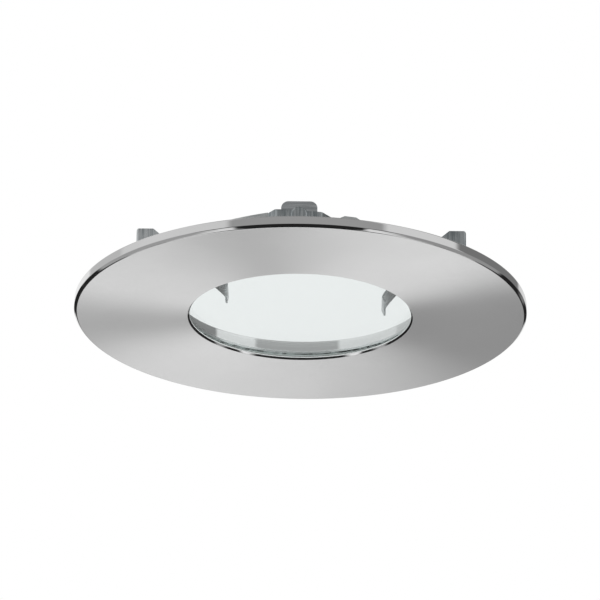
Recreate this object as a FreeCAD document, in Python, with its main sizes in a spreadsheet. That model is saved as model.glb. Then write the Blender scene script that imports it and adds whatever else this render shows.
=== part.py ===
import FreeCAD, Part
import math
import os
import Sketcher

# Front trim unit of a fixed soffit downlight: a chrome bezel with a glass lens, and behind it a steel
# plate with two sprung leaves and two catches that stand up through the hole in the soffit.
#
# Millimetres. The origin is on the lamp's axis, in the plane of the soffit's surface, and +Z points up
# into the soffit. The face points down. The front catch is towards -Y, the spring leaves are at -X and +X.

SIZES = {
    # bezel
    "rim_diameter": 91.0,
    "rim_height": 2.2,
    "rim_wall": 1.6,
    "face_thickness": 1.2,
    "face_edge_radius": 0.4,
    "face_bevel_width": 0.5,
    "face_bevel_height": 0.5,
    "rim_edge_radius": 0.3,
    "aperture_diameter": 44.6,
    "aperture_edge_radius": 0.25,
    "lip_thickness": 0.6,
    "collar_wall": 1.2,
    "collar_height": 7.2,
    "collar_edge_radius": 0.2,
    "seal_rib_width": 0.8,
    "seal_rib_height": 0.8,
    "boss_diameter": 6.0,
    "boss_height": 2.2,
    # lens, its gasket and its snap ring
    "lens_diameter": 50.0,
    "lens_thickness": 3.0,
    "lens_bevel": 0.3,
    "lens_clearance": 0.1,
    "lens_gasket_thickness": 0.4,
    "lens_gasket_width": 2.1,
    "snap_ring_thickness": 0.5,
    "snap_ring_width": 1.6,
    "snap_ring_bite": 0.3,
    "snap_ring_gap_angle": 18.0,
    "groove_clearance": 0.05,
    # seal against the soffit
    "seal_width": 5.0,
    "seal_proud": 0.2,
    "seal_clearance": 0.2,
    # steel plate in the hole of the soffit, and its screws
    "cutout_diameter": 75.0,
    "cutout_clearance": 1.0,
    "plate_thickness": 1.0,
    "plate_clearance": 0.5,
    "screw_circle_diameter": 63.0,
    "screw_diameter": 2.5,
    "screw_length": 3.0,
    "screw_hole_depth": 2.3,
    "screw_head_diameter": 4.6,
    "screw_head_height": 1.5,
    "screw_head_radius": 0.5,
    "screw_recess_length": 2.6,
    "screw_recess_width": 0.7,
    "screw_recess_depth": 0.8,
    "hole_clearance": 0.2,
    "thread_clearance": 0.04,
    # lugs turned up from the edge of the plate
    "lug_thickness": 0.8,
    "ramp_near": 6.0,
    "ramp_far": 13.0,
    "ramp_high": 2.65,
    "ramp_low": 2.0,
    "stop_near": 7.5,
    "stop_far": 12.3,
    "stop_height": 2.3,
    "stop_corner": 1.3,
    "stop_corner_drop": 0.7,
    # uprights that carry the spring leaves
    "upright_inset": 0.9,
    "upright_width": 8.0,
    "upright_height": 13.3,
    "upright_sheet": 0.6,
    "upright_bend_radius": 0.5,
    "gusset_flat": 3.4,
    "gusset_slope": 2.2,
    "gusset_drop": 1.9,
    # spring strip: the riveted anchor and the moving leaf
    "strip_thickness": 0.4,
    "strip_width": 6.2,
    "strip_start": 1.5,
    "strip_bend_radius": 1.3,
    "strip_rivet_height": 5.6,
    "hinge_inset": 3.1,
    "hinge_drop": 0.9,
    "bead_diameter": 1.0,
    "bead_clearance": 0.05,
    "curl_over_angle": 150.0,
    "curl_under_angle": 60.0,
    "leaf_length": 17.8,
    "leaf_width": 7.9,
    "leaf_bow": 1.4,
    "leaf_neck": 3.6,
    "leaf_shoulder": 0.8,
    "leaf_corner": 0.4,
    "foot_length": 1.2,
    "foot_width": 7.2,
    "foot_bend_angle": 72.0,
    "left_droop_angle": 30.0,
    "right_droop_angle": 40.0,
    # catches at the front and the rear
    "catch_reach": 35.0,
    "catch_sheet": 0.8,
    "catch_bend_radius": 0.5,
    "catch_web_width": 8.8,
    "catch_left_height": 4.0,
    "catch_right_height": 3.3,
    "catch_foot_depth": 5.6,
    "catch_rivet_height": 2.6,
    "wing_length": 3.6,
    "wing_angle": 54.0,
    "tongue_width": 7.0,
    "tongue_thickness": 0.5,
    "tongue_gap": 0.2,
    "tongue_top": 5.9,
    "tongue_corner": 1.4,
    # rivets
    "rivet_diameter": 2.0,
    "rivet_head_diameter": 3.4,
    "rivet_head_height": 0.7,
    "rivet_tail_diameter": 2.8,
    "rivet_tail_height": 0.4,
    "rivet_clearance": 0.1,
    "rivet_rounding": 0.8,
    "foot_rivet_inset": 3.6,
}


class Size:
    """A number together with the formula that gives it from the sheet."""

    def __init__(self, number, text):
        self.number = float(number)
        self.text = text

    def __add__(self, other):
        other = as_size(other)
        return Size(self.number + other.number, "(%s + %s)" % (self.text, other.text))

    def __sub__(self, other):
        other = as_size(other)
        return Size(self.number - other.number, "(%s - %s)" % (self.text, other.text))

    def __mul__(self, other):
        other = as_size(other)
        return Size(self.number * other.number, "(%s * %s)" % (self.text, other.text))

    def __truediv__(self, other):
        other = as_size(other)
        return Size(self.number / other.number, "(%s / %s)" % (self.text, other.text))

    def __radd__(self, other):
        return as_size(other) + self

    def __rsub__(self, other):
        return as_size(other) - self

    def __rmul__(self, other):
        return as_size(other) * self

    def __neg__(self):
        return as_size(-1) * self


def as_size(item):
    """A plain number as a size; a size as it is."""
    if isinstance(item, Size):
        return item
    return Size(item, "(%s)" % float(item))


def sine(angle):
    angle = as_size(angle)
    return Size(math.sin(math.radians(angle.number)), "sin(%s)" % angle.text)


def cosine(angle):
    angle = as_size(angle)
    return Size(math.cos(math.radians(angle.number)), "cos(%s)" % angle.text)


def tangent(angle):
    return sine(angle) / cosine(angle)


class Sheet:
    """The sizes in the document's sheet, each read by its name."""

    def __init__(self, document, table):
        self.table = table
        sheet = document.addObject("Spreadsheet::Sheet", "Sizes")
        for row, (name, number) in enumerate(table.items(), 1):
            sheet.set("A%d" % row, name.replace("_", " "))
            sheet.set("B%d" % row, str(number))
            sheet.setAlias("B%d" % row, name)

    def __getattr__(self, name):
        return Size(self.table[name], "Sizes." + name)


doc = FreeCAD.newDocument("SoffitDownlight")
S = Sheet(doc, SIZES)
doc.recompute()
nodes = []

NEAR = 0.001  # how close a corner has to be to count as the one that is looked for


# ---------------------------------------------------------------------------------------------
# Places that several pieces share
# ---------------------------------------------------------------------------------------------

seal_back = -S.seal_proud
face_plane = seal_back - S.rim_height
back_plane = face_plane + S.face_thickness
bevel_top = face_plane + S.face_bevel_height
face_radius = S.rim_diameter / 2 - S.face_bevel_width
lip_top = face_plane + S.lip_thickness
lens_bottom = lip_top + S.lens_gasket_thickness
lens_top = lens_bottom + S.lens_thickness
collar_top = face_plane + S.collar_height
collar_inner = S.lens_diameter / 2 + S.lens_clearance
collar_outer = collar_inner + S.collar_wall
rim_inner = S.rim_diameter / 2 - S.rim_wall
seal_outer = rim_inner - S.seal_clearance
seal_inner = seal_outer - S.seal_width
rib_outer = seal_inner - S.seal_clearance
rib_inner = rib_outer - S.seal_rib_width
plate_bottom = back_plane + S.boss_height
plate_top = plate_bottom + S.plate_thickness
plate_inner = collar_outer + S.plate_clearance
plate_outer = S.cutout_diameter / 2 - S.cutout_clearance
upright_top = plate_top + S.upright_height
upright_foot_top = plate_top + S.upright_sheet
gusset_end = plate_inner + S.upright_inset
upright_reach = gusset_end + S.gusset_slope + S.gusset_flat
web_inner = upright_reach - S.upright_sheet
strip_face = web_inner - S.strip_thickness
hinge_reach = upright_reach - S.hinge_inset
upright_rivet_reach = (gusset_end + strip_face) / 2
hinge_height = upright_top - S.hinge_drop
catch_foot_top = plate_top + S.catch_sheet
catch_foot_rivet_reach = S.catch_reach - S.foot_rivet_inset
rivet_hole = S.rivet_diameter + S.rivet_clearance


# ---------------------------------------------------------------------------------------------
# Helpers for sketches, bodies and solids
# ---------------------------------------------------------------------------------------------

def bind(item, name, length):
    """Tie one property of an object to the sheet."""
    item.setExpression(name, as_size(length).text)


def place(item, across=0, depth=0, up=0, axis=None, angle=0):
    """Put a finished object where it belongs: turned by an angle about an axis, then moved."""
    if axis is not None:
        item.Placement = FreeCAD.Placement(FreeCAD.Vector(), FreeCAD.Rotation(axis, as_size(angle).number))
        bind(item, "Placement.Rotation.Angle", angle)
    bind(item, "Placement.Base.x", across)
    bind(item, "Placement.Base.y", depth)
    bind(item, "Placement.Base.z", up)
    return item


X_AXIS = FreeCAD.Vector(1, 0, 0)
Y_AXIS = FreeCAD.Vector(0, 1, 0)
Z_AXIS = FreeCAD.Vector(0, 0, 1)


def node(item, name):
    """Name a finished piece and keep it for export."""
    item.Label = name
    nodes.append(item)
    return item


def sketch_on(body, name, plane, offset=0):
    """A sketch on one of the body's own planes, moved along that plane's normal."""
    sketch = body.newObject("Sketcher::SketchObject", name)
    support = [item for item in body.Origin.OriginFeatures if item.Role == plane][0]
    sketch.AttachmentSupport = [(support, "")]
    sketch.MapMode = "FlatFace"
    bind(sketch, "AttachmentOffset.Base.z", offset)
    return sketch


def pin(sketch, shape, point, across, up):
    """Hold one point of a sketch at a place from the sheet."""
    for kind, length in (("DistanceX", across), ("DistanceY", up)):
        length = as_size(length)
        rule = sketch.addConstraint(Sketcher.Constraint(kind, -1, 1, shape, point, length.number))
        sketch.setExpression("Constraints[%d]" % rule, length.text)


def draw_outline(sketch, corners):
    """A closed outline of straight lines through the corners."""
    spots = [FreeCAD.Vector(as_size(a).number, as_size(b).number, 0) for a, b in corners]
    count = len(spots)
    first = sketch.GeometryCount
    for index in range(count):
        sketch.addGeometry(Part.LineSegment(spots[index], spots[(index + 1) % count]), False)
    for index in range(count):
        following = first + (index + 1) % count
        sketch.addConstraint(Sketcher.Constraint("Coincident", first + index, 2, following, 1))
    for index, (across, up) in enumerate(corners):
        pin(sketch, first + index, 1, across, up)


def draw_circle(sketch, across, up, diameter):
    """A circle round a place from the sheet."""
    across = as_size(across)
    up = as_size(up)
    middle = FreeCAD.Vector(across.number, up.number, 0)
    circle = sketch.addGeometry(Part.Circle(middle, Z_AXIS, diameter.number / 2), False)
    pin(sketch, circle, 3, across, up)
    rule = sketch.addConstraint(Sketcher.Constraint("Diameter", circle, diameter.number))
    sketch.setExpression("Constraints[%d]" % rule, diameter.text)


def add_pad(body, name, sketch, length):
    pad = body.newObject("PartDesign::Pad", name)
    pad.Profile = sketch
    bind(pad, "Length", length)
    return pad


def add_pocket(body, name, sketch, depth):
    """A pocket that has to take material away."""
    doc.recompute()
    before = body.Shape.Volume
    pocket = body.newObject("PartDesign::Pocket", name)
    pocket.Profile = sketch
    bind(pocket, "Length", depth)
    doc.recompute()
    if body.Shape.Volume >= before:
        raise RuntimeError(name + " cuts nothing")
    return pocket


def add_fillet(body, name, radius, test):
    """Round the edges whose ends all pass the test."""
    doc.recompute()
    base = body.Tip
    names = []
    for index, edge in enumerate(base.Shape.Edges, 1):
        if all(test(vertex.Point) for vertex in edge.Vertexes):
            names.append("Edge%d" % index)
    if not names:
        raise RuntimeError(name + " finds no edge")
    fillet = body.newObject("PartDesign::Fillet", name)
    fillet.Base = (base, names)
    bind(fillet, "Radius", radius)
    return fillet


def on_circle(radius, height):
    """A test for points on a circle round the Z axis."""
    def test(point):
        out = math.hypot(point.x, point.y) - as_size(radius).number
        return abs(out) < NEAR and abs(point.z - as_size(height).number) < NEAR
    return test


def at_corner(across, up):
    """A test for points on a line along Y."""
    def test(point):
        return abs(point.x - as_size(across).number) < NEAR and abs(point.z - as_size(up).number) < NEAR
    return test


def turned(name, corners, angle=360):
    """A body turned round the Z axis from an outline of radius and height."""
    body = doc.addObject("PartDesign::Body", name)
    sketch = sketch_on(body, name + "Profile", "XZ_Plane")
    draw_outline(sketch, corners)
    turn = body.newObject("PartDesign::Revolution", name + "Turn")
    turn.Profile = sketch
    turn.ReferenceAxis = (sketch, ["V_Axis"])
    bind(turn, "Angle", angle)
    return body


def prism(name, plane, corners, start, length):
    """A body pulled straight from an outline, from a start along the plane's normal."""
    body = doc.addObject("PartDesign::Body", name)
    sketch = sketch_on(body, name + "Profile", plane, start)
    draw_outline(sketch, corners)
    add_pad(body, name + "Pad", sketch, length)
    return body


def rod(name, diameter, length, across=0, depth=0, up=0, axis=None, angle=0):
    """A plain cylinder, along Z unless it is turned."""
    cylinder = doc.addObject("Part::Cylinder", name)
    bind(cylinder, "Radius", as_size(diameter) / 2)
    bind(cylinder, "Height", length)
    return place(cylinder, across, depth, up, axis, angle)


def cut(name, base, tools):
    """The base less the tools."""
    tool = tools[0]
    if len(tools) > 1:
        tool = doc.addObject("Part::Compound", name + "Tools")
        tool.Links = tools
    result = doc.addObject("Part::Cut", name)
    result.Base = base
    result.Tool = tool
    return result


def fuse(name, pieces):
    result = doc.addObject("Part::MultiFuse", name)
    result.Shapes = pieces
    return result


def common(name, first, second):
    result = doc.addObject("Part::Common", name)
    result.Base = first
    result.Tool = second
    return result


def group(name, pieces):
    """Identical fasteners as one node of separate solids."""
    result = doc.addObject("Part::Compound", name)
    result.Links = pieces
    return result


# ---------------------------------------------------------------------------------------------
# Bezel, lens and seals
# ---------------------------------------------------------------------------------------------

def screw_places():
    """The four screws stand on a circle, between the clips."""
    for number in range(4):
        angle = 45 + 90 * number
        radius = S.screw_circle_diameter / 2
        yield radius * cosine(angle), radius * sine(angle)


def make_bezel():
    """Face, bevelled rim, seal rib, collar with the snap ring's groove, aperture lip and screw bosses."""
    groove_outer = collar_inner + S.snap_ring_bite + S.groove_clearance
    groove_top = lens_top + S.snap_ring_thickness + S.groove_clearance
    rib_top = back_plane + S.seal_rib_height
    aperture = S.aperture_diameter / 2
    body = turned("Bezel", [
        (aperture, face_plane),
        (face_radius, face_plane),
        (S.rim_diameter / 2, bevel_top),
        (S.rim_diameter / 2, seal_back),
        (rim_inner, seal_back),
        (rim_inner, back_plane),
        (rib_outer, back_plane),
        (rib_outer, rib_top),
        (rib_inner, rib_top),
        (rib_inner, back_plane),
        (collar_outer, back_plane),
        (collar_outer, collar_top),
        (collar_inner, collar_top),
        (collar_inner, groove_top),
        (groove_outer, groove_top),
        (groove_outer, lens_top),
        (collar_inner, lens_top),
        (collar_inner, lip_top),
        (aperture, lip_top),
    ])
    bosses = sketch_on(body, "BossPlan", "XY_Plane", back_plane)
    for across, depth in screw_places():
        draw_circle(bosses, across, depth, S.boss_diameter)
    add_pad(body, "Bosses", bosses, S.boss_height)
    holes = sketch_on(body, "ScrewHolePlan", "XY_Plane", plate_bottom)
    for across, depth in screw_places():
        draw_circle(holes, across, depth, S.screw_diameter + S.thread_clearance)
    add_pocket(body, "ScrewHoles", holes, S.screw_hole_depth)
    add_fillet(body, "FaceEdge", S.face_edge_radius, on_circle(face_radius, face_plane))
    add_fillet(body, "RimEdge", S.rim_edge_radius, on_circle(S.rim_diameter / 2, seal_back))
    add_fillet(body, "ApertureEdge", S.aperture_edge_radius, on_circle(aperture, face_plane))
    add_fillet(body, "CollarEdge", S.collar_edge_radius, on_circle(collar_outer, collar_top))
    return node(body, "bezel")


def make_lens():
    """Flat glass disc with bevelled edges."""
    radius = S.lens_diameter / 2
    body = turned("Lens", [
        (0, lens_bottom),
        (radius - S.lens_bevel, lens_bottom),
        (radius, lens_bottom + S.lens_bevel),
        (radius, lens_top - S.lens_bevel),
        (radius - S.lens_bevel, lens_top),
        (0, lens_top),
    ])
    return node(body, "lens_glass")


def make_ring(name, label, inner, outer, bottom, top, angle=360):
    """A flat ring, whole or open."""
    body = turned(name, [(inner, bottom), (outer, bottom), (outer, top), (inner, top)], angle)
    return node(body, label)


def make_seals():
    """The lens gasket on the lip, the snap ring over the lens, and the seal against the soffit."""
    gasket_outer = S.lens_diameter / 2
    make_ring("LensGasket", "lens_gasket", gasket_outer - S.lens_gasket_width, gasket_outer,
              lip_top, lens_bottom)
    ring_outer = collar_inner + S.snap_ring_bite
    ring = make_ring("SnapRing", "lens_retaining_ring", ring_outer - S.snap_ring_width, ring_outer,
                     lens_top, lens_top + S.snap_ring_thickness, 360 - S.snap_ring_gap_angle)
    place(ring, axis=Z_AXIS, angle=S.snap_ring_gap_angle / 2 - 90)
    make_ring("CeilingGasket", "ceiling_gasket", seal_inner, seal_outer, back_plane, 0)


# ---------------------------------------------------------------------------------------------
# Base plate and its screws
# ---------------------------------------------------------------------------------------------

def lug_outlines():
    """The ramp and the stop lug beside a catch, seen from outside, as width and height."""
    ramp = [
        (-S.ramp_far, plate_bottom),
        (-S.ramp_near, plate_bottom),
        (-S.ramp_near, plate_top + S.ramp_high),
        (-S.ramp_far, plate_top + S.ramp_low),
    ]
    stop = [
        (S.stop_near, plate_bottom),
        (S.stop_far, plate_bottom),
        (S.stop_far, plate_top + S.stop_height - S.stop_corner_drop),
        (S.stop_far - S.stop_corner, plate_top + S.stop_height),
        (S.stop_near + S.stop_corner, plate_top + S.stop_height),
        (S.stop_near, plate_top + S.stop_height - S.stop_corner_drop),
    ]
    return {"Ramp": ramp, "Stop": stop}


def make_lug(name, corners, angle):
    """One lug: the part of the plate's turned-up edge that its outline covers."""
    wall = turned(name + "Wall", [
        (plate_outer - S.lug_thickness, plate_bottom),
        (plate_outer, plate_bottom),
        (plate_outer, upright_top),
        (plate_outer - S.lug_thickness, upright_top),
    ])
    window = prism(name + "Window", "XZ_Plane", corners, 0, S.cutout_diameter)
    lug = common(name, wall, window)
    return place(lug, axis=Z_AXIS, angle=angle)


def make_base_plate():
    """Steel ring with lugs turned up at its edge and holes for the screws and rivets."""
    ring = turned("PlateRing", [
        (plate_inner, plate_bottom),
        (plate_outer, plate_bottom),
        (plate_outer, plate_top),
        (plate_inner, plate_top),
    ])
    pieces = [ring]
    for side, angle in (("Front", 0), ("Rear", 180)):
        for name, corners in lug_outlines().items():
            pieces.append(make_lug(side + name, corners, angle))
    holes = []
    for number, (across, depth) in enumerate(screw_places(), 1):
        hole = rod("PlateScrewHole%d" % number, S.screw_diameter + S.hole_clearance,
                   S.plate_thickness, across, depth, plate_bottom)
        holes.append(hole)
    for number, (across, depth) in enumerate(foot_rivet_places(), 1):
        hole = rod("PlateRivetHole%d" % number, rivet_hole, S.plate_thickness, across, depth, plate_bottom)
        holes.append(hole)
    return node(cut("BasePlate", fuse("PlateBlank", pieces), holes), "base_plate")


def make_screw(name, across, depth):
    """Pan head screw with a cross recess, its head on the plate."""
    head = S.screw_head_diameter / 2
    shank = S.screw_diameter / 2
    body = turned(name, [
        (0, -S.screw_length),
        (shank, -S.screw_length),
        (shank, 0),
        (head, 0),
        (head, S.screw_head_height),
        (0, S.screw_head_height),
    ])
    arm = S.screw_recess_length / 2
    half = S.screw_recess_width / 2
    cross = [
        (arm, -half), (arm, half), (half, half), (half, arm),
        (-half, arm), (-half, half), (-arm, half), (-arm, -half),
        (-half, -half), (-half, -arm), (half, -arm), (half, -half),
    ]
    recess = sketch_on(body, name + "Cross", "XY_Plane", S.screw_head_height)
    draw_outline(recess, cross)
    add_pocket(body, name + "Recess", recess, S.screw_recess_depth)
    add_fillet(body, name + "Round", S.screw_head_radius, on_circle(head, S.screw_head_height))
    return place(body, across, depth, plate_top)


def make_screws():
    screws = []
    for number, (across, depth) in enumerate(screw_places(), 1):
        screws.append(make_screw("Screw%d" % number, across, depth))
    return node(group("Screws", screws), "plate_screws")


# ---------------------------------------------------------------------------------------------
# Uprights, spring anchors and spring leaves
# ---------------------------------------------------------------------------------------------

def make_upright(side, angle):
    """Bent channel: a web, two gussets with a bevelled corner, and a foot on the plate."""
    half = S.upright_width / 2
    body = prism(side + "Channel", "XZ_Plane", [
        (upright_reach, plate_top),
        (upright_reach, upright_top),
        (upright_reach - S.gusset_flat, upright_top),
        (gusset_end, upright_top - S.gusset_drop),
        (gusset_end, plate_top),
    ], -half, S.upright_width)
    inside = sketch_on(body, side + "InsidePlan", "XY_Plane", upright_top)
    room = half - S.upright_sheet
    beyond = gusset_end - S.upright_sheet
    draw_outline(inside, [(beyond, -room), (web_inner, -room), (web_inner, room), (beyond, room)])
    add_pocket(body, side + "Inside", inside, S.upright_height - S.upright_sheet)
    reach = upright_reach.number
    add_fillet(body, side + "Bends", S.upright_bend_radius,
               lambda point: abs(point.x - reach) < NEAR and abs(abs(point.y) - half.number) < NEAR)
    web_hole = rod(side + "WebHole", rivet_hole, S.upright_sheet, web_inner, 0,
                   plate_top + S.strip_rivet_height, Y_AXIS, 90)
    foot_hole = rod(side + "FootHole", rivet_hole, S.upright_sheet, upright_rivet_reach, 0, plate_top)
    upright = cut(side + "Upright", body, [web_hole, foot_hole])
    place(upright, axis=Z_AXIS, angle=angle)
    return node(upright, "spring_upright_" + side.lower())


def make_anchor(side, angle):
    """Fixed half of the strip: riveted to the web, bent over the top, with a bead on the hinge's axis."""
    half = S.strip_thickness / 2
    body = prism(side + "Strip", "XZ_Plane", [
        (web_inner, upright_foot_top + S.strip_start),
        (web_inner, hinge_height + half),
        (hinge_reach, hinge_height + half),
        (hinge_reach, hinge_height - half),
        (strip_face, hinge_height - half),
        (strip_face, upright_foot_top + S.strip_start),
    ], -S.strip_width / 2, S.strip_width)
    add_fillet(body, side + "OuterBend", S.strip_bend_radius + half,
               at_corner(web_inner, hinge_height + half))
    add_fillet(body, side + "InnerBend", S.strip_bend_radius - half,
               at_corner(strip_face, hinge_height - half))
    bead = sketch_on(body, side + "BeadProfile", "XZ_Plane", -S.strip_width / 2)
    draw_circle(bead, hinge_reach, hinge_height, S.bead_diameter)
    add_pad(body, side + "Bead", bead, S.strip_width)
    hole = rod(side + "StripHole", rivet_hole, S.strip_thickness, strip_face, 0,
               plate_top + S.strip_rivet_height, Y_AXIS, 90)
    anchor = cut(side + "Anchor", body, [hole])
    place(anchor, axis=Z_AXIS, angle=angle)
    return node(anchor, "spring_anchor_" + side.lower())


def make_curl(side, inward):
    """The leaf's curl round the bead, open towards the anchor."""
    outer = S.bead_diameter / 2 + S.bead_clearance + S.strip_thickness
    reach = 3 * outer
    middle = (S.curl_over_angle + 360 - S.curl_under_angle) / 2
    gap = [(0, 0)]
    for angle in (S.curl_over_angle, middle, 360 - S.curl_under_angle):
        gap.append((inward * reach * cosine(angle), reach * sine(angle)))
    start = -S.strip_width / 2
    barrel = rod(side + "Barrel", 2 * outer, S.strip_width, 0, start, 0, X_AXIS, -90)
    bore = rod(side + "Bore", S.bead_diameter + 2 * S.bead_clearance, S.strip_width, 0, start, 0, X_AXIS, -90)
    opening = prism(side + "CurlOpening", "XZ_Plane", gap, start, S.strip_width)
    return cut(side + "Curl", cut(side + "Tube", barrel, [bore]), [opening])


def make_blade(side, inward):
    """The bowed blade: a slice of a thin tube, cut to the blade's plan."""
    bow_radius = (S.leaf_length * S.leaf_length / 4 + S.leaf_bow * S.leaf_bow) / (2 * S.leaf_bow)
    middle = inward * S.leaf_length / 2
    drop = S.leaf_bow - bow_radius
    half = S.leaf_width / 2
    outside = rod(side + "BowOutside", 2 * bow_radius + S.strip_thickness, S.leaf_width,
                  middle, -half, drop, X_AXIS, -90)
    inside = rod(side + "BowInside", 2 * bow_radius - S.strip_thickness, S.leaf_width,
                 middle, -half, drop, X_AXIS, -90)
    root = S.bead_diameter / 2 + S.bead_clearance + S.strip_thickness / 2
    neck = S.strip_width / 2
    profile = [
        (root, neck),
        (S.leaf_neck, neck),
        (S.leaf_neck + S.leaf_shoulder, half),
        (S.leaf_length - S.leaf_corner, half),
        (S.leaf_length, half - S.leaf_corner),
    ]
    plan = [(inward * along, out) for along, out in profile]
    plan += [(inward * along, -out) for along, out in reversed(profile)]
    window = prism(side + "BladePlan", "XY_Plane", plan, -S.leaf_length / 4, S.leaf_length / 2)
    return common(side + "Blade", cut(side + "Bow", outside, [inside]), window)


def make_foot(side, inward):
    """The small foot bent down at the blade's end, with a round bend."""
    half = S.strip_thickness / 2
    along = S.foot_length * cosine(S.foot_bend_angle)
    down = S.foot_length * sine(S.foot_bend_angle)
    lean = half * sine(S.foot_bend_angle)
    rise = half * cosine(S.foot_bend_angle)
    corners = [
        (S.leaf_length - lean, -rise),
        (S.leaf_length + along - lean, -down - rise),
        (S.leaf_length + along + lean, rise - down),
        (S.leaf_length + lean, rise),
    ]
    start = -S.foot_width / 2
    foot = prism(side + "Foot", "XZ_Plane", [(inward * a, b) for a, b in corners], start, S.foot_width)
    bend = rod(side + "FootBend", S.strip_thickness, S.foot_width, inward * S.leaf_length, start, 0,
               X_AXIS, -90)
    return [foot, bend]


def make_leaf(side, inward, droop):
    """Moving half of the strip, which turns about the bead; inward is +1 or -1 along X."""
    pieces = [make_curl(side, inward), make_blade(side, inward)] + make_foot(side, inward)
    leaf = fuse(side + "Leaf", pieces)
    place(leaf, -inward * hinge_reach, 0, hinge_height, Y_AXIS, inward * droop)
    return node(leaf, "spring_leaf_" + side.lower())


# ---------------------------------------------------------------------------------------------
# Catches
# ---------------------------------------------------------------------------------------------

def catch_profile():
    """Plan of the web and its two wings, with the web's outer face on the X axis."""
    corner = S.catch_web_width / 2
    bend = S.catch_sheet * tangent(S.wing_angle / 2)
    out = S.wing_length * cosine(S.wing_angle)
    back = S.wing_length * sine(S.wing_angle)
    lean = S.catch_sheet * sine(S.wing_angle)
    rise = S.catch_sheet * cosine(S.wing_angle)
    right = [
        (corner, as_size(0)),
        (corner + out, back),
        (corner + out - lean, back + rise),
        (corner - bend, S.catch_sheet),
    ]
    left = [(-across, depth) for across, depth in reversed(right)]
    return right + left


def place_catch(piece, angle):
    """Front or rear: the same piece turned half a turn about the axis."""
    facing = cosine(angle)
    return place(piece, 0, -facing * S.catch_reach, plate_top, Z_AXIS, angle)


def make_catch_bracket(side, angle):
    """Web with a sloping top edge, two wings folded back, and a foot on the plate."""
    half = S.catch_web_width / 2
    wide = half + S.wing_length
    walls = prism(side + "CatchPlan", "XY_Plane", catch_profile(), 0, S.catch_left_height)
    add_fillet(walls, side + "CatchBends", S.catch_bend_radius,
               lambda point: abs(abs(point.x) - half.number) < NEAR and abs(point.y) < NEAR)
    front = prism(side + "CatchFront", "XZ_Plane", [
        (-wide, 0),
        (wide, 0),
        (wide, S.catch_right_height),
        (half, S.catch_right_height),
        (-half, S.catch_left_height),
        (-wide, S.catch_left_height),
    ], -S.catch_foot_depth, S.catch_foot_depth)
    foot_corner = half - S.catch_sheet * tangent(S.wing_angle / 2)
    foot = prism(side + "CatchFoot", "XY_Plane", [
        (-foot_corner, 0),
        (foot_corner, 0),
        (foot_corner, S.catch_foot_depth),
        (-foot_corner, S.catch_foot_depth),
    ], 0, S.catch_sheet)
    blank = fuse(side + "CatchBlank", [common(side + "CatchWalls", walls, front), foot])
    web_hole = rod(side + "CatchWebHole", rivet_hole, S.catch_sheet, 0, 0, S.catch_rivet_height, X_AXIS, -90)
    foot_hole = rod(side + "CatchFootHole", rivet_hole, S.catch_sheet, 0, S.foot_rivet_inset, 0)
    bracket = cut(side + "Catch", blank, [web_hole, foot_hole])
    place_catch(bracket, angle)
    return node(bracket, "catch_bracket_" + side.lower())


def make_catch_tongue(side, angle):
    """Rounded tongue behind the web, held by the web's rivet."""
    half = S.tongue_width / 2
    bottom = S.catch_sheet + S.tongue_gap
    depth = S.catch_sheet + S.tongue_thickness
    body = prism(side + "TonguePlate", "XZ_Plane", [
        (-half, bottom),
        (half, bottom),
        (half, S.tongue_top),
        (-half, S.tongue_top),
    ], -depth, S.tongue_thickness)
    add_fillet(body, side + "TongueLeft", S.tongue_corner, at_corner(-half, S.tongue_top))
    add_fillet(body, side + "TongueRight", S.tongue_corner, at_corner(half, S.tongue_top))
    hole = rod(side + "TongueHole", rivet_hole, S.tongue_thickness, 0, S.catch_sheet,
               S.catch_rivet_height, X_AXIS, -90)
    tongue = cut(side + "Tongue", body, [hole])
    place_catch(tongue, angle)
    return node(tongue, "catch_tongue_" + side.lower())


# ---------------------------------------------------------------------------------------------
# Rivets
# ---------------------------------------------------------------------------------------------

def foot_rivet_places():
    """Under the uprights at right and left, and under the catches at the front and the rear."""
    return [
        (upright_rivet_reach, as_size(0)),
        (-upright_rivet_reach, as_size(0)),
        (as_size(0), -catch_foot_rivet_reach),
        (as_size(0), catch_foot_rivet_reach),
    ]


def make_rivet(name, grip):
    """Rivet with its head above Z = 0 and its closed tail under the grip."""
    head = S.rivet_head_diameter / 2
    shank = S.rivet_diameter / 2
    tail = S.rivet_tail_diameter / 2
    end = -grip - S.rivet_tail_height
    body = turned(name, [
        (0, end),
        (tail, end),
        (tail, -grip),
        (shank, -grip),
        (shank, 0),
        (head, 0),
        (head, S.rivet_head_height),
        (0, S.rivet_head_height),
    ])
    add_fillet(body, name + "Head", S.rivet_head_height * S.rivet_rounding,
               on_circle(head, S.rivet_head_height))
    add_fillet(body, name + "Tail", S.rivet_tail_height * S.rivet_rounding, on_circle(tail, end))
    return body


def make_rivets():
    """Three groups: through the feet, through the webs and strips, and through the catches."""
    feet = []
    for number, (across, depth) in enumerate(foot_rivet_places(), 1):
        sheet = S.upright_sheet if number <= 2 else S.catch_sheet
        rivet = make_rivet("FootRivet%d" % number, S.plate_thickness + sheet)
        feet.append(place(rivet, across, depth, plate_top + sheet))
    node(group("FootRivets", feet), "foot_rivets")

    strips = []
    for name, inward in (("StripRivetLeft", 1), ("StripRivetRight", -1)):
        rivet = make_rivet(name, S.upright_sheet + S.strip_thickness)
        strips.append(place(rivet, -inward * strip_face, 0, plate_top + S.strip_rivet_height,
                            Y_AXIS, 90 * inward))
    node(group("StripRivets", strips), "strip_rivets")

    catches = []
    for name, facing in (("CatchRivetFront", 1), ("CatchRivetRear", -1)):
        rivet = make_rivet(name, S.catch_sheet + S.tongue_thickness)
        catches.append(place(rivet, 0, -facing * S.catch_reach, plate_top + S.catch_rivet_height,
                             X_AXIS, 90 * facing))
    node(group("CatchRivets", catches), "catch_rivets")


# ---------------------------------------------------------------------------------------------
# Build, test and export
# ---------------------------------------------------------------------------------------------

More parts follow.
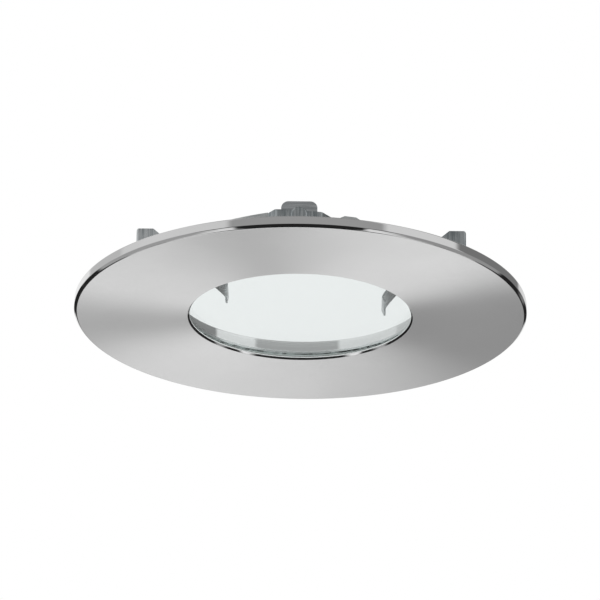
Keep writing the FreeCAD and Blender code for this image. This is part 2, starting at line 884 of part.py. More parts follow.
def check_document():
    """Stop where any object failed or a piece has no sound solid."""
    for item in doc.Objects:
        if "Invalid" in item.State or "Error" in item.State:
            raise RuntimeError("%s failed: %s" % (item.Name, item.State))
    for item in nodes:
        if item.Shape.isNull() or not item.Shape.isValid() or not item.Shape.Solids:
            raise RuntimeError(item.Label + " has no valid solid")


def export_nodes():
    os.makedirs("parts", exist_ok=True)
    for item in nodes:
        item.Shape.exportStep("parts/%s.step" % item.Label)
        box = item.Shape.BoundBox
        print("%-22s %d solid(s) %9.2f mm3  x %6.2f..%6.2f  y %6.2f..%6.2f  z %6.2f..%6.2f" % (
            item.Label, len(item.Shape.Solids), item.Shape.Volume,
            box.XMin, box.XMax, box.YMin, box.YMax, box.ZMin, box.ZMax))


make_bezel()
make_lens()
make_seals()
make_base_plate()
make_screws()
for side, angle in (("Left", 180), ("Right", 0)):
    make_upright(side, angle)
    make_anchor(side, angle)
make_leaf("Left", 1, S.left_droop_angle)
make_leaf("Right", -1, S.right_droop_angle)
for side, angle in (("Front", 0), ("Rear", 180)):
    make_catch_bracket(side, angle)
    make_catch_tongue(side, angle)
make_rivets()
doc.recompute()
check_document()
export_nodes()
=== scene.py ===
# %% [markdown]
# # Soffit downlight, dressed for rendering
# The real thing is the front trim of a small lamp for a soffit: a chrome bezel with a clear lens, and behind
# it a steel plate with two sprung leaves and two catches. The construction is loaded as a fixed frame. This
# lesson gives every piece its finish, and turns the bezel and the lens again as fine lathe meshes, because a
# mirror shows every facet. Everything is in metres. The origin lies in the plane of the soffit, and +Z points
# up into it.

# %% Load the frame
import bpy
import math
import bmesh
from mathutils import Matrix, Vector


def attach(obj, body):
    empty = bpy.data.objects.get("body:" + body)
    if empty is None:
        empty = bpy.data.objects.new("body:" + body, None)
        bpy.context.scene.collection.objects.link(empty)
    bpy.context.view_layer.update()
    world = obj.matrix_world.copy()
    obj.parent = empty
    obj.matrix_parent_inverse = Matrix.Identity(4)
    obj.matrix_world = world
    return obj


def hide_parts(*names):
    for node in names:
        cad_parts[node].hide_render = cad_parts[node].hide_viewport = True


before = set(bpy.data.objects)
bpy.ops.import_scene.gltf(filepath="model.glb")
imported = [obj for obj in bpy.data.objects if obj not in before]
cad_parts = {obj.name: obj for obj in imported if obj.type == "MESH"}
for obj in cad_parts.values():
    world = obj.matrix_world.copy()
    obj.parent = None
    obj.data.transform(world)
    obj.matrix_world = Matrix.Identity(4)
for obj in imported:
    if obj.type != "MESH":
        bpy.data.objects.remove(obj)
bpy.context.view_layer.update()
MM = 0.001

# %% [markdown]
# ## Camera
# The lamp is seen from below, at about 23 degrees to the soffit, from far off with a long lens. The place,
# the lens and the slight roll were worked out from the outlines of the face, the rim and the aperture in the
# picture of 600 by 600 pixels, and the small step to the right from the catch, which stands a little left of
# the middle. Euler angles could say it too, but a matrix built from the camera's three axes says it directly.

# %% Camera axes
VIEW_RISE = math.radians(22.79)      # how steeply the camera looks up
VIEW_ROLL = math.radians(-0.81)
VIEW_STEP = math.radians(0.82)       # how far the camera stands to the right of the front

step_right = Matrix.Rotation(VIEW_STEP, 3, "Z")
forward = step_right @ Vector((0, math.cos(VIEW_RISE), math.sin(VIEW_RISE)))
level = step_right @ Vector((1, 0, 0))
upward = step_right @ Vector((0, -math.sin(VIEW_RISE), math.cos(VIEW_RISE)))
right = level * math.cos(VIEW_ROLL) - upward * math.sin(VIEW_ROLL)
above = level * math.sin(VIEW_ROLL) + upward * math.cos(VIEW_ROLL)
print("camera looks along", tuple(round(part, 3) for part in forward))

# %% [markdown]
# The lens is given as a focal length in pixels, which is what outlines in a picture lead to. Blender wants it
# in millimetres on a sensor, so it is scaled by the sensor's width over the picture's.

# %% Camera
VIEW_DISTANCE = 700 * MM
VIEW_TARGET = Vector((-0.1, 0, 1.58)) * MM
FOCAL_PIXELS = 3472.0
PICTURE_PIXELS = 600.0
SENSOR_WIDTH = 36.0
NEAREST_SEEN = 10 * MM

camera_data = bpy.data.cameras.new("camera")
camera_data.lens = FOCAL_PIXELS * SENSOR_WIDTH / PICTURE_PIXELS
camera_data.sensor_width = SENSOR_WIDTH
camera_data.clip_start = NEAREST_SEEN
camera = bpy.data.objects.new("camera", camera_data)
bpy.context.scene.collection.objects.link(camera)
turn = Matrix((right, above, -forward)).transposed().to_4x4()
camera.matrix_world = Matrix.Translation(VIEW_TARGET - forward * VIEW_DISTANCE) @ turn
bpy.context.scene.camera = camera
bpy.context.scene.view_settings.view_transform = "Standard"
print("camera: lens %.1f mm at %.2f m" % (camera_data.lens, VIEW_DISTANCE))

# %% [markdown]
# ## Node helpers
# Every finish below is a small network of nodes. It could be wired node by node, but three helpers keep it
# short: one adds a node and sets or links its inputs, one does a sum, and one fades from a value to another.

# %% Node helpers


def add(tree, kind, inputs=None, **settings):
    """A node of one kind, with its settings, and its inputs set or linked."""
    node = tree.nodes.new(kind)
    for name, setting in settings.items():
        setattr(node, name, setting)
    for name, source in (inputs or {}).items():
        if isinstance(source, bpy.types.NodeSocket):
            tree.links.new(source, node.inputs[name])
        else:
            node.inputs[name].default_value = source
    return node


def math_node(tree, operation, first, second=0.0):
    """The result of one sum on two numbers or sockets."""
    return add(tree, "ShaderNodeMath", {0: first, 1: second}, operation=operation).outputs[0]


def fade(tree, source, low, high, start=0.0, end=1.0):
    """A smooth step from start to end while the source goes from low to high."""
    inputs = {"Value": source, "From Min": low, "From Max": high, "To Min": start, "To Max": end}
    return add(tree, "ShaderNodeMapRange", inputs, interpolation_type="SMOOTHSTEP").outputs["Result"]


print("node helpers ready")

# %% [markdown]
# Four more helpers make a finish: the first starts a material with its Principled shader, and the others
# bring in noise, mix two colours by it, and turn it into a slight relief. A number that is the same all over
# the surface is set on the shader's own socket.

# %% Material helpers


def start_material(name, **sockets):
    """A material whose Principled shader has these constant values."""
    material = bpy.data.materials.new(name)
    material.use_nodes = True
    tree = material.node_tree
    tree.nodes.clear()
    shader = tree.nodes.new("ShaderNodeBsdfPrincipled")
    output = tree.nodes.new("ShaderNodeOutputMaterial")
    tree.links.new(shader.outputs["BSDF"], output.inputs["Surface"])
    for socket, setting in sockets.items():
        shader.inputs[socket.replace("_", " ")].default_value = setting
    return material, tree, shader


def noise(tree, scale, stretch=(1, 1, 1), detail=3.0):
    """Noise in the object's own metres, stretched along its axes."""
    place = tree.nodes.new("ShaderNodeTexCoord").outputs["Object"]
    mapping = add(tree, "ShaderNodeMapping", {"Vector": place, "Scale": stretch})
    inputs = {"Vector": mapping.outputs["Vector"], "Scale": scale, "Detail": detail}
    return add(tree, "ShaderNodeTexNoise", inputs).outputs["Fac"]


def blend_colours(tree, factor, dark, light):
    """The dark colour where the factor is 0, the light one where it is 1."""
    mix = tree.nodes.new("ShaderNodeMix")
    mix.data_type = "RGBA"
    tree.links.new(factor, mix.inputs[0])
    mix.inputs[6].default_value = (*dark, 1.0)
    mix.inputs[7].default_value = (*light, 1.0)
    return mix.outputs[2]


def bump(tree, shader, height, depth, strength=0.5):
    """Tilt the shader's normal by a height that runs over a depth."""
    node = add(tree, "ShaderNodeBump", {"Height": height, "Distance": depth, "Strength": strength})
    tree.links.new(node.outputs["Normal"], shader.inputs["Normal"])


print("material helpers ready")

# %% [markdown]
# ## Studio
# Chrome has no colour of its own: what it shows is the room. Lamps and boards could stand round the piece, but
# a world that is painted by direction does the same without noise. It is laid out by two angles, a bearing
# round the object and a height over the horizon, both read from the direction in which a ray leaves.

# %% Studio directions
world = bpy.data.worlds.new("studio")
bpy.context.scene.world = world
world.use_nodes = True
sky = world.node_tree
sky.nodes.clear()

gaze = sky.nodes.new("ShaderNodeTexCoord").outputs["Generated"]
direction = add(sky, "ShaderNodeSeparateXYZ", {"Vector": gaze})
toward_front = math_node(sky, "MULTIPLY", direction.outputs["Y"], -1.0)
bearing = math_node(sky, "ARCTAN2", direction.outputs["X"], toward_front)    # 0 in front, + to the right
height = math_node(sky, "ARCSINE", direction.outputs["Z"])
print("studio directions ready")

# %% [markdown]
# A panel is a patch of this sky between two bearings and two heights. The panels are bright on the left and
# on the right and dim in front. Nothing but a trace of light comes from straight below, and that draws the
# dark line along the edge of the face and along the lip.

# %% Panels
SOFTNESS = 2.5                # degrees over which the border of a panel fades, each way
PANELS = {                    # bearings from, to; heights from, to; strength
    "front": (-36, 43, -8, 62, 0.38),
    "left": (-102, -36, -8, 62, 0.76),
    "left side": (-134, -102, -8, 62, 0.60),
    "left behind": (-184, -134, 8, 62, 0.95),
    "right": (43, 86, -8, 62, 0.80),
    "right side": (86, 146, -8, 62, 0.20),
    "right behind": (146, 184, 10, 62, 0.78),
    "far low, left": (-184, -162, -44, 8, 0.33),
    "far low, right": (162, 184, -44, 10, 0.30),
    "side low, left": (-120, -55, -48, -8, 0.40),
    "side low, right": (55, 120, -48, -8, 0.34),
    "deep, left": (-98, -42, -63, -48, 0.90),
    "deep, right": (42, 98, -63, -48, 0.90),
    "far deep, left": (-184, -128, -68, -44, 0.92),
    "far deep, right": (128, 184, -68, -44, 0.92),
    "overhead": (-184, 184, 62, 94, 0.25),
}
NADIR = 0.02


def panel(tree, low, high, bottom, top):
    """1 inside the panel, fading to 0 at its borders."""
    mask = None
    for angle, start, end in ((bearing, low, high), (height, bottom, top)):
        for edge, before, after in ((start, 0.0, 1.0), (end, 1.0, 0.0)):
            near = math.radians(edge - SOFTNESS)
            far = math.radians(edge + SOFTNESS)
            step = fade(tree, angle, near, far, before, after)
            mask = step if mask is None else math_node(tree, "MULTIPLY", mask, step)
    return mask


light = None
for low, high, bottom, top, strength in PANELS.values():
    glow = math_node(sky, "MULTIPLY", panel(sky, low, high, bottom, top), strength)
    light = math_node(sky, "ADD", glow, NADIR if light is None else light)
print("studio:", len(PANELS), "soft panels")

# %% [markdown]
# Round lamps hang low beyond the far side. The face mirrors them as soft wedges of light, which open outward
# from the aperture. Each is a disc round one direction, brightest in its middle.

# %% Lamps
LAMP_INNER = math.cos(math.radians(0.5))
LAMP_OUTER = math.cos(math.radians(9.5))
LAMPS = {                     # bearing, height, strength
    "right, deep": (174, -34, 0.56),
    "left, high": (-177, -11, 0.50),
    "left, deep": (-171, -30, 0.44),
    "left, middle": (-170, -22, 0.10),
}


def lamp(tree, bearing_degrees, height_degrees):
    """1 in the middle of a round lamp, fading to 0 at its rim."""
    swing = math.radians(bearing_degrees)
    rise = math.radians(height_degrees)
    toward = (math.sin(swing) * math.cos(rise), -math.cos(swing) * math.cos(rise), math.sin(rise))
    near = add(tree, "ShaderNodeVectorMath", {0: gaze, 1: toward}, operation="DOT_PRODUCT")
    return fade(tree, near.outputs["Value"], LAMP_OUTER, LAMP_INNER)


for bearing_degrees, height_degrees, strength in LAMPS.values():
    glow = math_node(sky, "MULTIPLY", lamp(sky, bearing_degrees, height_degrees), strength)
    light = math_node(sky, "ADD", glow, light)
print("studio:", len(LAMPS), "lamps")

# %% [markdown]
# The backdrop is plain white. A white dome would wash the chrome out, so only the camera sees the white, and
# what is seen through the glass, while everything else gets the panels and lamps.

# %% Backdrop
path = sky.nodes.new("ShaderNodeLightPath")
seen = math_node(sky, "MAXIMUM", path.outputs["Is Camera Ray"], path.outputs["Is Transmission Ray"])
shown = add(sky, "ShaderNodeMix", {0: seen, 2: light, 3: 1.0}).outputs[0]
background = add(sky, "ShaderNodeBackground", {"Color": (1, 1, 1, 1), "Strength": shown})
ending = sky.nodes.new("ShaderNodeOutputWorld")
sky.links.new(background.outputs["Background"], ending.inputs["Surface"])
print("backdrop: white,", len(sky.nodes), "nodes in the world")

# %% [markdown]
# ## Floor
# A pale floor lies well below the camera, so it is seen only from above. It is kept out of the mirror's
# view, because the chrome is to show the studio's panels. A weak glow that only the camera sees keeps it pale
# without more light on the object.

# %% Floor
FLOOR_DROP = 0.62
FLOOR_SIZE = 6.0
FLOOR_GLOW = 0.3

material, tree, shader = start_material("floor_paint", Roughness=0.8, Emission_Color=(1.0, 1.0, 0.99, 1.0))
tint = blend_colours(tree, noise(tree, 3.0), (0.83, 0.83, 0.82), (0.87, 0.87, 0.86))
tree.links.new(tint, shader.inputs["Base Color"])
seen = tree.nodes.new("ShaderNodeLightPath").outputs["Is Camera Ray"]
tree.links.new(math_node(tree, "MULTIPLY", seen, FLOOR_GLOW), shader.inputs["Emission Strength"])
bpy.ops.mesh.primitive_plane_add(size=FLOOR_SIZE, location=(0, 0, -FLOOR_DROP))
floor = bpy.context.object
floor.name = "floor"
floor.data.materials.append(material)
floor.visible_glossy = False
print("floor: %.1f m square, %.2f m down" % (FLOOR_SIZE, FLOOR_DROP))

# %% [markdown]
# ## Chrome
# The face was turned on a lathe before it was plated: its finest grooves run round the axis, and it bulges by
# so little that only a mirror tells. The light therefore draws out in wide wedges round the aperture. An
# anisotropic shader with a tangent round Z gives the one, and a bump that falls away from the axis the other.
# Both follow the distance from the axis, which comes first.

# %% Distance from the axis


def measure_place(tree):
    """The distance from the axis and the height over the soffit's plane, both in metres."""
    place = tree.nodes.new("ShaderNodeTexCoord").outputs["Object"]
    flat = add(tree, "ShaderNodeVectorMath", {0: place, 1: (1, 1, 0)}, operation="MULTIPLY").outputs["Vector"]
    from_axis = add(tree, "ShaderNodeVectorMath", {0: flat}, operation="LENGTH").outputs["Value"]
    height_up = add(tree, "ShaderNodeSeparateXYZ", {"Vector": place}).outputs["Z"]
    return from_axis, height_up


print("distance helper ready")

# %% [markdown]
# The plating's grey is painted by place: painted light makes it brightest inside the collar, and painted
# shade makes it a little duller on the rim, with a faint cloud of the plating's own tone over all of it. One
# material with fades by place keeps the casting in one piece.

# %% Plating colour, with painted light and shade
PLATING = 0.81
# The next two numbers are painted light inside the collar and painted shade on the rim.
COLLAR_PAINTED_LIGHT = 0.16
RIM_PAINTED_SHADE = -0.09
CLOUD = 0.02


def colour_plating_and_painted_light(tree, shader, from_axis, height_up):
    """Grey with painted light inside the collar and painted shade on the rim."""
    cloud = fade(tree, noise(tree, 45.0), 0.3, 0.7, -CLOUD, CLOUD)
    # Painted light above the lip inside the collar, and painted shade on the rim; only the cloud is the
    # plating's own tone.
    above_lip = fade(tree, height_up, -1.7 * MM, -1.2 * MM, 0.0, COLLAR_PAINTED_LIGHT)
    within_collar = fade(tree, from_axis, 25.5 * MM, 26.2 * MM, 1.0, 0.0)
    inside = math_node(tree, "MULTIPLY", above_lip, within_collar)
    painted_rim_shade = fade(tree, from_axis, 44.9 * MM, 45.2 * MM, 0.0, RIM_PAINTED_SHADE)
    painted_light_and_cloud = math_node(tree, "ADD", math_node(tree, "ADD", inside, painted_rim_shade), cloud)
    grey = math_node(tree, "ADD", painted_light_and_cloud, PLATING)
    tint = add(tree, "ShaderNodeCombineColor", {"Red": grey, "Green": grey, "Blue": grey}).outputs[0]
    tree.links.new(tint, shader.inputs["Base Color"])


print("plating colour ready")

# %% [markdown]
# The rim, the edges and the collar are polished, so the roughness falls where the surface no longer faces
# straight down. The crown and the grooves are one height: it falls steadily from the axis, and a sine as
# fine as a tool's feed rides on it.

# %% Chrome
CROWN = math.tan(math.radians(7))
GROOVE_PITCH = 0.35 * MM
GROOVE_DEPTH = 0.0004 * MM
SATIN, POLISHED = 0.16, 0.05


def chrome():
    """Turned and plated metal, satin on the flat face and polished elsewhere."""
    material, tree, shader = start_material("chrome_plate", Metallic=1.0, Anisotropic=0.6,
                                            Anisotropic_Rotation=0.25)
    from_axis, height_up = measure_place(tree)
    colour_plating_and_painted_light(tree, shader, from_axis, height_up)
    normal = tree.nodes.new("ShaderNodeTexCoord").outputs["Normal"]
    facing = add(tree, "ShaderNodeSeparateXYZ", {"Vector": normal}).outputs["Z"]
    satin = fade(tree, facing, -0.995, -0.93, SATIN, POLISHED)
    grain = fade(tree, noise(tree, 2200.0, detail=2.0), 0.3, 0.7, -0.015, 0.015)
    tree.links.new(math_node(tree, "ADD", satin, grain), shader.inputs["Roughness"])
    around = add(tree, "ShaderNodeTangent", direction_type="RADIAL", axis="Z")
    tree.links.new(around.outputs["Tangent"], shader.inputs["Tangent"])
    fall = math_node(tree, "MULTIPLY", from_axis, -CROWN)
    turns = math_node(tree, "MULTIPLY", from_axis, 2 * math.pi / GROOVE_PITCH)
    relief = math_node(tree, "MULTIPLY", math_node(tree, "SINE", turns), GROOVE_DEPTH)
    bump(tree, shader, math_node(tree, "ADD", fall, relief), 1.0, 1.0)
    return material


CHROME = chrome()
print("chrome:", len(CHROME.node_tree.nodes), "nodes")

# %% [markdown]
# ## Bezel
# One casting: a flat face, a low rim with a bevelled edge, a lip with a fine chamfer, a rib that holds the
# seal, four screw bosses, and the collar round the lens with its groove. It could be kept as loaded, but a
# mirror finish needs finer round edges, so the same profile is turned again here. Each corner gets a true
# arc, with a close pair of support lines that keep the flats flat when they are shaded smooth.

# %% Round a profile
ARC_STEPS = 7
SUPPORT = 0.03                # millimetres from an arc to its support line


def rounded(corners):
    """A closed profile of (radius, height, rounding) in millimetres, with its corners as arcs."""
    points = []
    count = len(corners)
    for index, (across, up, rounding) in enumerate(corners):
        here = Vector((across, up))
        if rounding == 0:
            points.append(here)
            continue
        before = (Vector(corners[index - 1][:2]) - here).normalized()
        after = (Vector(corners[(index + 1) % count][:2]) - here).normalized()
        half = before.angle(after) / 2
        reach = rounding / math.tan(half)
        centre = here + (before + after).normalized() * rounding / math.sin(half)
        first = here + before * reach - centre
        last = here + after * reach - centre
        swing = first.angle_signed(last)
        points.append(here + before * (reach + SUPPORT))
        for step in range(ARC_STEPS + 1):
            part = first.copy()
            part.rotate(Matrix.Rotation(-swing * step / ARC_STEPS, 2))
            points.append(centre + part)
        points.append(here + after * (reach + SUPPORT))
    return points


print("rounding ready:", ARC_STEPS, "steps to an arc")

# %% [markdown]
# A Screw modifier would turn the profile too. Turning it in mesh code leaves plain quads straight away, and
# the same helper turns the small bosses round their own axes.

# %% Lathe
TURN_STEPS = 288


def lathe(mesh, profile, centre=(0.0, 0.0), steps=TURN_STEPS):
    """Turn a closed profile round a vertical line, into the mesh."""
    rings = []
    for step in range(steps):
        angle = 2 * math.pi * step / steps
        ring = []
        for point in profile:
            across = centre[0] + point.x * math.cos(angle)
            depth = centre[1] + point.x * math.sin(angle)
            ring.append(mesh.verts.new((across * MM, depth * MM, point.y * MM)))
        rings.append(ring)
    size = len(profile)
    for step in range(steps):
        here, beyond = rings[step], rings[(step + 1) % steps]
        for index in range(size):
            following = (index + 1) % size
            mesh.faces.new((here[index], beyond[index], beyond[following], here[following]))


print("lathe ready:", TURN_STEPS, "steps to a turn")

# %% [markdown]
# A turned mesh then becomes an object. It is shaded smooth so that the mirror runs on over its facets, but
# an edge that turns by more than an angle stays sharp.

# %% Mesh to object
SHARP_ANGLE = math.radians(35.0)


def finish_mesh(mesh, name, material):
    """An object from the mesh, smooth except over sharp edges."""
    bmesh.ops.recalc_face_normals(mesh, faces=mesh.faces)
    for face in mesh.faces:
        face.smooth = True
    for edge in mesh.edges:
        edge.smooth = edge.calc_face_angle(0.0) < SHARP_ANGLE
    data = bpy.data.meshes.new(name)
    mesh.to_mesh(data)
    mesh.free()
    data.materials.append(material)
    piece = bpy.data.objects.new(name, data)
    bpy.context.scene.collection.objects.link(piece)
    return piece


print("object helper ready")

# %% [markdown]
# The sizes are those of the construction, in millimetres: heights from the soffit's plane, and radii from
# the axis.

# %% Bezel sizes
FACE_PLANE = -2.4
BEVEL_TOP = -1.9
LIP_TOP = -1.8
BACK_PLANE = -1.2
RIB_TOP = -0.4
RIM_BACK = -0.2
LENS_TOP = 1.6
GROOVE_TOP = 2.15
COLLAR_TOP = 4.8
APERTURE = 22.3
LIP_CHAMFER = 0.36
COLLAR_INNER, COLLAR_OUTER = 25.1, 26.3
GROOVE_OUTER = 25.45
RIB_INNER, RIB_OUTER = 37.7, 38.5
RIM_INNER, RIM_OUTER = 43.9, 45.5
FACE_OUTER = 45.0
CAST_ROUND = 0.15
print("bezel: %.0f mm across, %.1f mm deep" % (2 * RIM_OUTER, COLLAR_TOP - FACE_PLANE))

# %% [markdown]
# The profile goes out along the face, up the rim, back over the rib to the collar, over its top, and down
# its inner wall with the groove to the lip.

# %% Bezel profile
bezel_profile = rounded([
    (APERTURE, FACE_PLANE + LIP_CHAMFER, 0.08),
    (APERTURE + LIP_CHAMFER, FACE_PLANE, 0.12),
    (FACE_OUTER, FACE_PLANE, 0.4),
    (RIM_OUTER, BEVEL_TOP, 0.2),
    (RIM_OUTER, RIM_BACK, 0.3),
    (RIM_INNER, RIM_BACK, CAST_ROUND),
    (RIM_INNER, BACK_PLANE, CAST_ROUND),
    (RIB_OUTER, BACK_PLANE, CAST_ROUND),
    (RIB_OUTER, RIB_TOP, CAST_ROUND),
    (RIB_INNER, RIB_TOP, CAST_ROUND),
    (RIB_INNER, BACK_PLANE, CAST_ROUND),
    (COLLAR_OUTER, BACK_PLANE, CAST_ROUND),
    (COLLAR_OUTER, COLLAR_TOP, 0.2),
    (COLLAR_INNER, COLLAR_TOP, 0.2),
    (COLLAR_INNER, GROOVE_TOP, 0),
    (GROOVE_OUTER, GROOVE_TOP, 0),
    (GROOVE_OUTER, LENS_TOP, 0),
    (COLLAR_INNER, LENS_TOP, 0),
    (COLLAR_INNER, LIP_TOP, 0.1),
    (APERTURE, LIP_TOP, 0.08),
])
print("bezel profile:", len(bezel_profile), "points")

# %% [markdown]
# Four bosses carry the plate. They are cast in one with the bezel, so they are turned into the same mesh, a
# little sunk into its back.

# %% Turn the bezel
BOSS_COUNT = 4
BOSS_START = 45               # degrees from +X to the first boss
BOSS_CIRCLE = 31.5
BOSS_RADIUS = 3.0
BOSS_BORE = 1.27
BOSS_TOP = 1.0
BOSS_STEPS = 48

boss_profile = rounded([
    (BOSS_BORE, BACK_PLANE - CAST_ROUND, 0),
    (BOSS_RADIUS, BACK_PLANE - CAST_ROUND, 0),
    (BOSS_RADIUS, BOSS_TOP, CAST_ROUND),
    (BOSS_BORE, BOSS_TOP, 0),
])
mesh = bmesh.new()
lathe(mesh, bezel_profile)
for number in range(BOSS_COUNT):
    turned = math.radians(BOSS_START + 360 / BOSS_COUNT * number)
    spot = (BOSS_CIRCLE * math.cos(turned), BOSS_CIRCLE * math.sin(turned))
    lathe(mesh, boss_profile, spot, BOSS_STEPS)
bezel = finish_mesh(mesh, "bezel_shell", CHROME)
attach(bezel, "trim")
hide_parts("bezel")
print("bezel:", len(bezel.data.polygons), "faces")

# %% [markdown]
# ## Glass
# The lens is a disc of ordinary float glass, clear with a green hint in its thickness. A Principled shader
# with full transmission bends the view of what stands behind, which lifts the far wall of the collar. The
# edge of the disc is ground, so it is matt and pale, with a weak painted glow that stands in for the light
# that the disc leads to it.

# %% Glass finishes
EDGE_PAINTED_GLOW = 0.24


def clear_glass():
    """Clear glass with a trace of haze."""
    material, tree, shader = start_material("lens_clear", Transmission_Weight=1.0, IOR=1.5)
    tint = blend_colours(tree, noise(tree, 60.0), (0.945, 0.99, 0.985), (0.955, 0.995, 0.99))
    tree.links.new(tint, shader.inputs["Base Color"])
    tree.links.new(fade(tree, noise(tree, 300.0), 0.45, 0.8, 0.0, 0.02), shader.inputs["Roughness"])
    return material


def ground_glass():
    """Pale matt glass with a fine grain, and a weak painted glow."""
    # A weak painted glow: emission that stands in for the light that the disc leads to its edge.
    material, tree, shader = start_material("lens_ground_edge", Emission_Strength=EDGE_PAINTED_GLOW,
                                            Emission_Color=(0.80, 0.86, 0.85, 1.0))
    grain = noise(tree, 1800.0, detail=4.0)
    tint = blend_colours(tree, grain, (0.70, 0.78, 0.76), (0.80, 0.87, 0.85))
    tree.links.new(tint, shader.inputs["Base Color"])
    tree.links.new(fade(tree, grain, 0.3, 0.7, 0.55, 0.75), shader.inputs["Roughness"])
    bump(tree, shader, grain, 0.02 * MM, 0.4)
    return material


GLASS = clear_glass()
GROUND = ground_glass()
print("glass:", GLASS.name, "and", GROUND.name)

# %% [markdown]
# One material can't be both clear and ground, so the disc is turned again with two. The lathe leaves a tiny
# hole round the axis: its wall is taken out, and one flat face closes each side.

# %% Turn the lens
LENS_RADIUS = 25.0
LENS_BOTTOM = -1.4
LENS_BEVEL = 0.3
LENS_STEPS = 192
HOLE_RADIUS = 0.02

lens_flat = LENS_RADIUS - LENS_BEVEL
lens_profile = [Vector(corner) for corner in (
    (HOLE_RADIUS, LENS_BOTTOM),
    (lens_flat, LENS_BOTTOM),
    (LENS_RADIUS, LENS_BOTTOM + LENS_BEVEL),
    (LENS_RADIUS, LENS_TOP - LENS_BEVEL),
    (lens_flat, LENS_TOP),
    (HOLE_RADIUS, LENS_TOP),
)]
mesh = bmesh.new()
lathe(mesh, lens_profile, steps=LENS_STEPS)
wall = [face for face in mesh.faces if face.calc_center_median().xy.length < 5 * HOLE_RADIUS * MM]
bmesh.ops.delete(mesh, geom=wall, context="FACES")
bmesh.ops.holes_fill(mesh, edges=[edge for edge in mesh.edges if edge.is_boundary])
lens = finish_mesh(mesh, "lens_disc", GLASS)
lens.data.materials.append(GROUND)
for face in lens.data.polygons:
    if face.center.xy.length > lens_flat * MM:
        face.material_index = 1
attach(lens, "trim")
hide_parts("lens_glass")
print("lens:", len(lens.data.polygons), "faces")

# %% [markdown]
# ## Sheet and spring steel
# The clips are pressed from rolled sheet. Rolling leaves fine streaks, one way, in the shade and in the
# gloss. Noise stretched along one axis gives them, and drives colour, roughness and a slight relief.

# %% Steel recipe


def rolled_steel(name, dark, light, stretch, smooth, rough):
    """Metal with streaks along the axis that the stretch leaves longest."""
    material, tree, shader = start_material(name, Metallic=1.0, Anisotropic=0.3)
    streaks = noise(tree, 1.0, stretch, 4.0)
    patches = noise(tree, 320.0)
    shade = math_node(tree, "ADD", math_node(tree, "MULTIPLY", streaks, 0.75),
                      math_node(tree, "MULTIPLY", patches, 0.25))
    tint = blend_colours(tree, fade(tree, shade, 0.36, 0.64), dark, light)
    tree.links.new(tint, shader.inputs["Base Color"])
    tree.links.new(fade(tree, shade, 0.35, 0.65, rough, smooth), shader.inputs["Roughness"])
    bump(tree, shader, streaks, 0.02 * MM, 0.4)
    return material


print("steel recipe ready")

# %% [markdown]
# Six finishes come from the one recipe. They differ in their two shades, in the way that the streaks run,
# and in how smooth and how rough the metal gets. The left upright catches more light than the right one, so
# it gets a lighter copy of the zinc sheet as painted light.

# %% Steel finishes
UPRIGHT_STREAKS = (2600, 2600, 160)
LEVEL_STREAKS = (160, 2600, 2600)
EVEN_GRAIN = (900, 900, 900)
DRAWN_STREAKS = (400, 400, 2600)
STEELS = {                    # dark shade, light shade, streaks, smoothest, roughest
    "sheet_zinc": ((0.24, 0.27, 0.28), (0.48, 0.51, 0.52), UPRIGHT_STREAKS, 0.26, 0.40),
    # A lighter copy of the zinc sheet: painted light for the left upright.
    "sheet_zinc_painted_light": ((0.36, 0.39, 0.40), (0.72, 0.75, 0.76), UPRIGHT_STREAKS, 0.26, 0.40),
    "spring_rolled": ((0.36, 0.38, 0.39), (0.56, 0.58, 0.59), LEVEL_STREAKS, 0.22, 0.36),
    "plate_zinc": ((0.45, 0.47, 0.47), (0.60, 0.62, 0.62), LEVEL_STREAKS, 0.28, 0.42),
    "fastener_zinc": ((0.50, 0.50, 0.49), (0.66, 0.66, 0.64), EVEN_GRAIN, 0.20, 0.34),
    # The drawn ring's own grey, lightened as painted light where little light reaches it behind the glass.
    "ring_drawn_painted_light": ((0.70, 0.72, 0.72), (0.80, 0.82, 0.82), DRAWN_STREAKS, 0.20, 0.32),
}
steel = {name: rolled_steel(name, *recipe) for name, recipe in STEELS.items()}
print("steels:", ", ".join(steel))

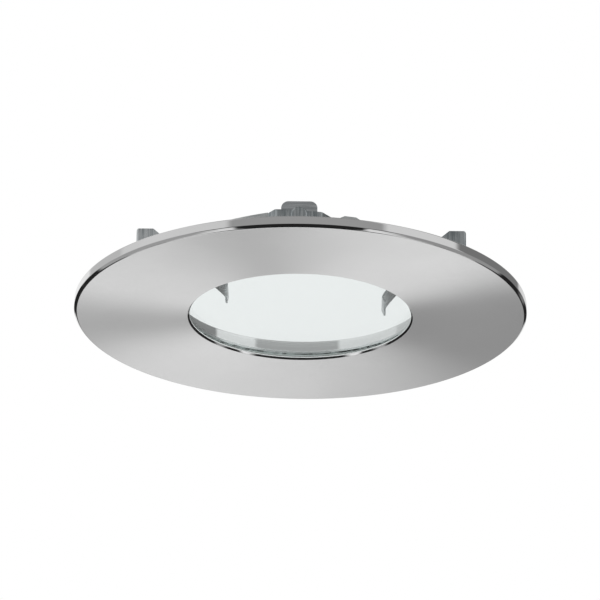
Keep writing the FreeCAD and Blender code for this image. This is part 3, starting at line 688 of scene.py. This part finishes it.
# %% [markdown]
# ## Seals
# The seal against the soffit is matt black rubber, and the lens sits on grey silicone. Both are soft,
# slightly grainy materials without gloss, so one recipe with a cloudy colour and a fine relief does for both.

# %% Seals


def soft_seal(name, dark, light, rough):
    """A soft material, grainy and without gloss."""
    material, tree, shader = start_material(name, Specular_IOR_Level=0.35)
    cloud = noise(tree, 700.0, detail=5.0)
    tree.links.new(blend_colours(tree, cloud, dark, light), shader.inputs["Base Color"])
    tree.links.new(fade(tree, cloud, 0.3, 0.7, rough - 0.08, rough), shader.inputs["Roughness"])
    bump(tree, shader, noise(tree, 2500.0), 0.03 * MM, 0.5)
    return material


RUBBER = soft_seal("rubber_black", (0.035, 0.035, 0.038), (0.06, 0.06, 0.062), 0.75)
SILICONE = soft_seal("silicone_grey", (0.42, 0.44, 0.43), (0.52, 0.54, 0.53), 0.5)
print("seals:", RUBBER.name, "and", SILICONE.name)

# %% [markdown]
# ## Dress the loaded pieces
# Each piece that came with the frame keeps its mesh and takes its finish by name. They could be dressed one
# by one, but a table of names shows at a glance what is made of what.

# %% Dress the loaded pieces
FINISHES = {
    "lens_gasket": SILICONE,
    # The retaining ring takes the drawn steel that is lightened as painted light.
    "lens_retaining_ring": steel["ring_drawn_painted_light"],
    "ceiling_gasket": RUBBER,
    "base_plate": steel["plate_zinc"],
    "plate_screws": steel["fastener_zinc"],
    "foot_rivets": steel["fastener_zinc"],
    "strip_rivets": steel["fastener_zinc"],
    "catch_rivets": steel["sheet_zinc"],
    # The left upright takes the lighter copy of the zinc sheet, as painted light.
    "spring_upright_left": steel["sheet_zinc_painted_light"],
    "spring_upright_right": steel["sheet_zinc"],
    "spring_anchor_left": steel["spring_rolled"],
    "spring_anchor_right": steel["spring_rolled"],
    "spring_leaf_left": steel["spring_rolled"],
    "spring_leaf_right": steel["spring_rolled"],
    "catch_bracket_front": steel["sheet_zinc"],
    "catch_bracket_rear": steel["sheet_zinc"],
    "catch_tongue_front": steel["spring_rolled"],
    "catch_tongue_rear": steel["spring_rolled"],
}
for name, finish in FINISHES.items():
    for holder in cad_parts[name].material_slots:
        holder.material = finish
    print("%-22s %s" % (name, finish.name))
